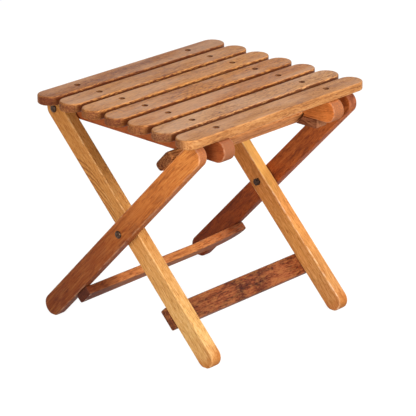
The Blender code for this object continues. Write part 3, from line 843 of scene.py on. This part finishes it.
# %% Slat screws
spots = [
    (Vector((side * bearer_x, middle_of(name).y, seat_top - SLAT_RECESS)), Z_AXIS)
    for name in SLATS for side in SIDES.values()
]
nodes = [f"slat_screw_{i}_{end}" for i in range(1, 8) for end in SIDES]
set_on_points("slat_screws", screw("slat_screw", SLAT_SCREW_LENGTH), spots, screw_steel, 3, "seat", nodes)

# %% [markdown]
# ## Legs
# A leg is a straight batten with a half-round top, and a half-round foot that has worn a short flat where it
# stands. The golden pair is set inside, and the left one shows arched grain, where its saw cut ran out of the
# rings. The outer pair is redder and darkens towards the feet.

# %% Leg boards
LEG_EDGE = 0.0025


def leg_outline(up, width, top_reach):
    """Local X runs up the leg from the crossing, and local Y out of its front edge."""
    radius = width / 2
    foot_height = sqrt(radius**2 - (FOOT_FLAT / 2) ** 2)
    foot = (-(CROSSING.z - foot_height) / up.z, 0)
    down = atan2(-X_AXIS.cross(up).z, -up.z) % (2 * pi)
    half_flat = asin(FOOT_FLAT / 2 / radius)
    top = arc((top_reach, 0), radius, -pi / 2, pi / 2)
    front_of_foot = arc(foot, radius, pi / 2, down - half_flat, END_STEPS // 2)
    rear_of_foot = arc(foot, radius, down + half_flat, 3 * pi / 2, END_STEPS // 2)
    return top + front_of_foot + rear_of_foot


def leg(node, up, width, top):
    thickness = size_of(node).x
    place = placed(Vector((middle_of(node).x, CROSSING.y, CROSSING.z)), up, X_AXIS)
    outline = leg_outline(up, width, (top - CROSSING).length)
    board(node, outline, thickness, LEG_EDGE, place)
    low, high = min(outline)[0], max(outline)[0]
    middle = Matrix.Translation(((low + high) / 2, 0, 0))
    spaces[node] = place @ middle, Vector((high - low, width, thickness)) / 2
    print(f"{node}: {high - low:.3f} m long")


for end in SIDES:
    leg("inner_leg_" + end, INNER_UP, INNER_LEG_WIDTH, HINGE)
for end in SIDES:
    leg("outer_leg_" + end, OUTER_UP, OUTER_LEG_WIDTH, OUTER_TOP)


# %% Leg woods
def dress(node, body, slot, name, tones, **looks):
    """Makes the wood of a node's board, in the board's own space, and notes the body and slot it is for."""
    woods[node] = wood(name, *spaces[node], tones, **looks), body, slot
    print(f"{node}: {name}")


# Golden oak under clear varnish: pale yellow, with arches where the cut ran out of the rings.
dress(
    "inner_leg_left", "inner_frame", "light_wood", "golden_varnished_oak_left",
    ("a2743e", "d09d5a", "e4c38c"),
    ends=("b8783c", 0.5), worn=("f4c890", 0.4), grain=0.6, pore="c8a488",
    along=((0, "dcb496"), (0.1, "ffffff"), (0.45, "f2dac5"), (1, "daba9a")),
    pith=(0.02, -0.024, -0.014), ring=4.5, lean=0.28, wave=0.003, figure=0.7,
    patch=((0.10, -0.014, 0), (0.075, 0.017, 1)),
)
# Golden oak again: more orange and straighter, with brown scuffs, painted light on the upper part of its
# front edge, and a tint along it that darkens the upper end as painted shade under the seat.
dress(
    "inner_leg_right", "inner_frame", "light_wood", "golden_varnished_oak_right",
    ("9a6430", "ce8c48", "e6b070"),
    ends=("b8783c", 0.5), worn=("f8d8b4", 0.55), scuff=("ae6a34", 0.35, 34, 9), sunned=("ecb45c", 0.55),
    along=((0, "dabcaa"), (0.1, "f0f0fa"), (0.3, "fff8f0"), (0.52, "f4dac8"), (0.7, "f2d2b6"), (1, "f4d6bc")),
    grain=0.6, pore="ccaa8c", pith=(0, -0.03, -0.05), ring=7, lean=0.04, figure=0.06,
)
# Oak stained red-brown: long silky streaks, a tone that deepens from the bright top to the foot, and painted
# shade on the faces that look down.
dress(
    "outer_leg_left", "outer_frame", "dark_wood", "red_brown_varnished_oak_left",
    ("884c22", "ca7c3a", "dc9850"),
    ends=("89533e", 0.7), worn=("f0c098", 0.35), under=("5a1c0c", 0.35), scuff=("d08a4c", 0.15, 40, 3.5),
    along=((0, "886860"), (0.4, "a88880"), (0.7, "e0ccbc"), (1, "fff4e8")),
    grain=0.65, flow=2.4, pore="d4b4a0", pith=(0, 0.02, -0.07), ring=7, lean=0.02, figure=0.08,
)
# The same stain laid on thicker: the reddest and darkest leg, with blackish scuffs and a little painted shade
# on the faces that look down.
dress(
    "outer_leg_right", "outer_frame", "dark_wood", "red_brown_varnished_oak_right",
    ("7e4222", "be672e", "d88343"),
    ends=("89533e", 0.8), worn=("b87858", 0.4), under=("4a2014", 0.2), scuff=("5a2010", 0.5, 34, 9),
    along=((0, "a8847c"), (0.4, "ccb0a4"), (1, "fff4ec")),
    grain=0.7, pore="ccae9c", pith=(0, -0.02, -0.06), lean=0.03, figure=0.06,
)

# %% [markdown]
# ## Bearers
# Two battens carry the slats. Their ends are half-round, and each has a slanting notch in its underside, a
# birdsmouth, that drops over the front rail and locks the stool open. The notch is cut along the outer legs.

# %% Bearers
BEARER_EDGE = 0.0025
NOTCH_CUT = 0.04
NOTCH_ROOM_FRONT, NOTCH_ROOM_REAR = 0.0034, 0.0025
RAIL_FACE = OUTER_LEG_WIDTH / 2 + GAP
NOTCH_FRONT = RAIL_FACE - NOTCH_ROOM_FRONT
NOTCH_REAR = RAIL_FACE + RAIL_SIZE[1] + NOTCH_ROOM_REAR
bearer_size = size_of("seat_bearer_left")
rail_middle = middle_of("outer_front_rail")
rail_reach = (rail_middle - CROSSING).dot(OUTER_UP)
notch_axis = CROSSING + OUTER_UP * (rail_reach + GAP) + OUTER_REAR * (NOTCH_FRONT + NOTCH_REAR) / 2
for end in SIDES:
    node = "seat_bearer_" + end
    centre = middle_of(node)
    spaces[node] = placed(centre, Y_AXIS, X_AXIS), bearer_size.yzx / 2
    board(node, pill(bearer_size.y, bearer_size.z), bearer_size.x, BEARER_EDGE, spaces[node][0])
    notch_place = placed(notch_axis + X_AXIS * centre.x, X_AXIS, X_AXIS.cross(OUTER_UP))
    notch = extruded("notch", rectangle(NOTCH_CUT, RAIL_SIZE[0]), NOTCH_REAR - NOTCH_FRONT, notch_place)
    cut(boards[node], notch)
    for slat_node in SLATS:
        surface = Vector((centre.x, middle_of(slat_node).y, seat_top))
        drill([node], surface, -Z_AXIS, SLAT_SCREW_LENGTH, SLAT_RECESS, SLAT_MARGIN)
print("bearers: notches", round((NOTCH_REAR - NOTCH_FRONT) * 1000, 1), "mm wide")

# Orange hardwood with pale rounded ends, in two copies: the left painted darker as shade, the right painted
# brighter as light.
for end, tones in (("left", ("672c11", "9c4e23", "ab6034")), ("right", ("8a431c", "cc7232", "e08a47"))):
    dress(
        "seat_bearer_" + end, "seat", "bearer_wood", "orange_varnished_bearer_hardwood_" + end, tones,
        ends=("915d40", 0.85), worn=("d49a74", 0.5), grain=0.6, pore="ccae98", lean=0.03, figure=0.08,
    )

# %% [markdown]
# ## Rail, stretchers and stop block
# Three boards join the legs: the front rail behind the tops of the outer legs, a stretcher low on each pair.
# The outer stretcher's right end sweeps up in a quarter ellipse. A small rough cleat under the right bearer
# stops the rail from sliding forwards.

# %% Rail and stretchers
SWEEP_TAPER = 0.010
SWEEP_HEEL = 0.085
SWEEP_CLIMB_LENGTH = 0.122
SWEEP_CLIMB = 0.020
SWEEP_NOSE = 0.008
RAIL_EDGE = 0.007
STRETCHER_EDGE = 0.003
FRAME_BITE = 0.023
SCREW_ROWS = {"low": -0.009, "high": 0.009}
BOTH_ENDS = {"left": SCREW_ROWS, "right": SCREW_ROWS}
WITH_NOSE = {"left": SCREW_ROWS, "right": {"nose": 0.026}}


def swept(length, width):
    """Outline of a board whose right end sweeps up."""
    end, low, high = length / 2, -width / 2, width / 2
    nose_top = high + SWEEP_CLIMB
    heel = (end - SWEEP_HEEL, nose_top - SWEEP_NOSE)
    drop = heel[1] - low - SWEEP_TAPER
    turns = [pi / 2 * step / END_STEPS for step in range(END_STEPS + 1)]
    sweep = [(heel[0] + SWEEP_HEEL * sin(a), heel[1] - drop * cos(a)) for a in turns]
    return [(-end, low), *sweep, (end, nose_top), (end - SWEEP_CLIMB_LENGTH, high), (-end, high)]


def rail(node, outline, size, edge, centre, up, outward, pair, screws, rows):
    """Starts a board across a pair of legs, drills it and the legs, and sets its screws."""
    place = placed(centre, X_AXIS, X_AXIS.cross(up))
    length, (width, thickness) = size_of(node).x, size
    board(node, outline(length, width), thickness, edge, place)
    spaces[node] = place, Vector((length, width, thickness)) / 2
    screw_length = thickness - FRAME_RECESS + GAP + FRAME_BITE
    leg_x = abs(middle_of(pair + "_leg_left").x)
    rise = place.to_3x3() @ Y_AXIS
    spots, nodes = [], []
    for end, steps in rows.items():
        for height, step in steps.items():
            surface = centre + X_AXIS * SIDES[end] * leg_x + rise * step + outward * thickness / 2
            drill([node, f"{pair}_leg_{end}"], surface, -outward, screw_length)
            spots.append((surface - outward * FRAME_RECESS, outward))
            nodes.append(f"{node}_screw_{end}_{height}")
    print(f"{node}: {len(spots)} screws, {screw_length * 1000:.1f} mm long")
    master = screw("rail_screw", screw_length)
    set_on_points(screws, master, spots, screw_steel, 5, pair + "_frame", nodes)


rail(
    "outer_front_rail", rectangle, RAIL_SIZE, RAIL_EDGE, rail_middle, OUTER_UP, OUTER_REAR, "outer",
    "front_rail_screws", BOTH_ENDS,
)
stretcher_middle = CROSSING - OUTER_UP * OUTER_STRETCHER_DROP
stretcher_middle = stretcher_middle - OUTER_REAR * (RAIL_FACE + OUTER_STRETCHER_SIZE[1] / 2)
rail(
    "outer_lower_stretcher", swept, OUTER_STRETCHER_SIZE, STRETCHER_EDGE, stretcher_middle, OUTER_UP,
    -OUTER_REAR, "outer", "outer_stretcher_screws", WITH_NOSE,
)
rail(
    "inner_lower_stretcher", rectangle, INNER_STRETCHER_SIZE, STRETCHER_EDGE,
    middle_of("inner_lower_stretcher"), INNER_UP, INNER_REAR, "inner", "inner_stretcher_screws", BOTH_ENDS,
)

# %% Stop block
BLOCK_NOSE = 0.005
NOSE_STEPS = 10
BLOCK_EDGE = 0.0015
BLOCK_BITE = 0.0135
block_size = size_of("rail_stop_block")
block_middle = middle_of("rail_stop_block")
(_, nose, block_bottom), (_, _, block_top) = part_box("rail_stop_block")
BLOCK_SCREW_LENGTH = block_top - block_bottom - FRAME_RECESS + GAP + BLOCK_BITE


def notch_front_at(height):
    """Depth of the notch's front wall, carried down along the rail, at a height."""
    reach = (height - CROSSING.z - NOTCH_FRONT * OUTER_REAR.z) / OUTER_UP.z
    return CROSSING.y + reach * OUTER_UP.y + NOTCH_FRONT * OUTER_REAR.y


block_outline = [
    (notch_front_at(block_top), block_top), (nose, block_top),
    *arc((nose + BLOCK_NOSE, block_bottom + BLOCK_NOSE), BLOCK_NOSE, pi, 3 * pi / 2, NOSE_STEPS),
    (notch_front_at(block_bottom), block_bottom),
]
block_place = placed(X_AXIS * block_middle.x, Y_AXIS, X_AXIS)
board("rail_stop_block", block_outline, block_size.x, BLOCK_EDGE, block_place)
spaces["rail_stop_block"] = placed(block_middle, Y_AXIS, X_AXIS), block_size.zxy / 2
spots, nodes = [], ["stop_block_screw_" + end for end in SIDES]
for node in nodes:
    surface = middle_of(node)
    surface.z = block_bottom
    drill(["rail_stop_block", "seat_bearer_right"], surface, Z_AXIS, BLOCK_SCREW_LENGTH)
    spots.append((surface + Z_AXIS * FRAME_RECESS, -Z_AXIS))
set_on_points("block_screws", screw("block_screw", BLOCK_SCREW_LENGTH), spots, screw_steel, 7, "seat", nodes)
print("stop block:", [round(v, 4) for v in block_size])

# %% Woods of the rail, stretchers and block
# Plain brown hardwood: even and lightly rubbed, with nearly black ends.
dress(
    "outer_front_rail", "outer_frame", "rail_wood", "worn_brown_rail_hardwood",
    ("925428", "c67e47", "d8965c"),
    ends=("421808", 0.88), worn=("c89878", 0.4), round_ends=False, grain=0.75,
)
# Red varnished hardwood: bright in the middle and dark at both ends, with painted shade underneath.
dress(
    "outer_lower_stretcher", "outer_frame", "dark_wood", "red_varnished_stretcher_hardwood",
    ("7e4926", "c67d45", "dc9a5a"),
    ends=("44221a", 0.85), worn=("e0a878", 0.15), under=("4a1810", 0.5), round_ends=False, grain=0.85,
    along=((0, "8c6c62"), (0.13, "a0847a"), (0.24, "ecdcd4"), (0.7, "fff4ec"), (0.82, "f0d0bc"),
           (0.94, "b08470")),
    flow=1.6, pore="ccaa94", pith=(0, 0.02, -0.06), figure=0.06,
)
# Red-brown hardwood that old stain has mottled: short dark flecks, golden scuffs and two dark bands.
dress(
    "inner_lower_stretcher", "inner_frame", "rail_wood", "mottled_red_brown_stretcher_hardwood",
    ("49200e", "7d3f1f", "965a34"),
    ends=("542c1c", 0.72), worn=("b88a68", 0.3), scuff=("a46636", 0.5, 13, 5), round_ends=False, grain=1.2,
    along=((0, "f8ece0"), (0.42, "fff4ec"), (0.49, "a08078"), (0.57, "fff0e8"), (0.64, "98746c"),
           (0.72, "fff4ec")),
    flow=0.6, pith=(0, 0.01, -0.05), ring=7, gloss=0.6,
)
# Bare weathered wood: greyer and rougher than the rest, with no varnish to shine.
dress(
    "rail_stop_block", "seat", "block_wood", "bare_weathered_block_wood",
    ("5c321c", "884f30", "a86c48"),
    ends=("ac7450", 0.45), worn=("b89880", 0.5), round_ends=False, pith=(0, 0.01, -0.02), ring=4, gloss=0.75,
)

# %% [markdown]
# ## Pivots
# Four bolts run along X: two at the crossing of the legs, two at the seat hinge. Each goes from a domed head
# on the outside, through two boards with a washer between them, to a nut on the inside.

# %% Pivots
bearer_inside = min(abs(corner[0]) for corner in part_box("seat_bearer_left"))
inner_faces = sorted(abs(corner[0]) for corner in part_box("inner_leg_left"))
outer_outside = max(abs(corner[0]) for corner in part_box("outer_leg_left"))
pivots = {
    "leg_pivot": (CROSSING, outer_outside, inner_faces[0], "outer_frame", ("outer_leg_", "inner_leg_")),
    "seat_pivot": (HINGE, inner_faces[1], bearer_inside, "inner_frame", ("inner_leg_", "seat_bearer_")),
}
washer_spots = []
for name, (centre, head_face, nut_face, body, layers) in pivots.items():
    grip = head_face - nut_face
    profile = [(0, CUT_OVER), (BORE, CUT_OVER), (BORE, -grip - CUT_OVER), (0, -grip - CUT_OVER)]
    bolt_spots, nut_spots = [], []
    for end, side in SIDES.items():
        outward = X_AXIS * side
        head_at = centre + outward * head_face
        bolt_spots.append((head_at, outward))
        nut_spots.append((centre + outward * (nut_face - GAP - NUT_HEIGHT / 2), outward))
        washer_spots.append((Vector((middle_of(f"{name}_washer_{end}").x, centre.y, centre.z)), outward))
        hole = turned("bolt_hole", profile, placed(head_at, Y_AXIS, outward))
        for layer in layers:
            cut(boards[layer + end], hole)
    nodes = [f"{name}_bolt_{end}" for end in SIDES]
    set_on_points(name + "_bolts", bolt(name + "_bolt", grip), bolt_spots, bolt_steel, 1, body, nodes)
    nodes = [f"{name}_nut_{end}" for end in SIDES]
    set_on_points(name + "_nuts", nut(name + "_nut"), nut_spots, nut_steel, 2, body, nodes)
nodes = [f"{name}_washer_{end}" for name in pivots for end in SIDES]
set_on_points("pivot_washers", washer("washer"), washer_spots, bolt_steel, 4, "inner_frame", nodes)

# %% [markdown]
# ## Putting the boards on their bodies
# With every hole drilled, the boards are settled, dressed in their own wood and put in their nodes' place.

# %% Boards on their bodies
finished = {node: planed(boards[node], finish) for node, (finish, _, _) in woods.items()}
for node, (_, body, slot) in woods.items():
    install(finished[node], body, slot, node)
for cutter in cutters:
    bpy.data.objects.remove(cutter)

# %% [markdown]
# ## Studio
# A white floor in an even white surround, with three soft lamps: a large one in front that reaches under the
# seat, one from above on the right, and a wide one on the left. They are set so that a colour renders about
# as it is written. Where the camera sees the floor, itself or in metal, it glows a little, which keeps it
# white while the stool's soft shadow stays.

# %% Surround
SURROUND_LIGHT, SURROUND_SEEN = 0.32, 1.0
scene.view_settings.view_transform = "Standard"


def seen_directly(tree):
    """One where the camera sees a surface, also in metal or glass, zero where it only gives light."""
    ray = add(tree, "ShaderNodeLightPath").outputs
    seen = ray["Is Camera Ray"]
    for kind in ("Is Glossy Ray", "Is Transmission Ray"):
        seen = add(tree, LARGER, (seen, ray[kind]))
    return seen


world = bpy.data.worlds.new("white_surround")
scene.world = world
world.use_nodes = True
sky = world.node_tree
strength = add(sky, RANGE, (seen_directly(sky), 0, 1, SURROUND_LIGHT, SURROUND_SEEN))
feed(sky, sky.nodes["Background"], {"Color": colour("ffffff"), "Strength": strength})
print("surround:", world.name)

# %% Lamps
AIM = (0, 0, 0.25)


def soft_lamp(name, place, size, power):
    data = bpy.data.lights.new(name, "AREA")
    data.shape = "DISK"
    data.size = size
    data.energy = power
    lamp = bpy.data.objects.new(name, data)
    lamp.location = place
    lamp.rotation_euler = (Vector(place) - Vector(AIM)).to_track_quat("Z", "Y").to_euler()
    scene.collection.objects.link(lamp)
    print(f"{name}: {power} W, {size} m across")


soft_lamp("key_lamp", (-0.19, -2.66, 1.36), 1.2, 68)
soft_lamp("top_lamp", (1.6, -0.8, 2.3), 1.2, 25)
soft_lamp("fill_lamp", (-2.5, -0.9, 1.1), 1.8, 58)

# %% Floor
FLOOR_SIZE, FLOOR_THICKNESS, FLOOR_MIDDLE = 14, 0.02, -0.0101
FLOOR_ROUGHNESS, FLOOR_GLOW, GLOW_SHARE = 0.9, 1.14, 0.8
floor = extruded(
    "floor", rectangle(FLOOR_SIZE, FLOOR_SIZE), FLOOR_THICKNESS, Matrix.Translation((0, 0, FLOOR_MIDDLE)),
)
# Matt white paint: no shine at all, so the eye finds only the soft shadow on it.
floor_paint, paint_tree, paint = new_finish("matt_white_paint")
seen = seen_directly(paint_tree)
shades = {"Factor": seen, MIX_A: colour("a8a8a8"), MIX_B: colour("f4f4f4")}
paper = add(paint_tree, MIX, shades, **BLEND)
feed(paint_tree, paint, {"Base Color": paper, "Roughness": FLOOR_ROUGHNESS})
glow = add(paint_tree, "ShaderNodeEmission", {"Strength": FLOOR_GLOW})
share = add(paint_tree, TIMES, (seen, GLOW_SHARE))
mixed = add(paint_tree, "ShaderNodeMixShader", (share, paint, glow))
feed(paint_tree, paint_tree.nodes["Material Output"], {"Surface": mixed})
floor.data.materials.append(floor_paint)
print("floor:", floor_paint.name)
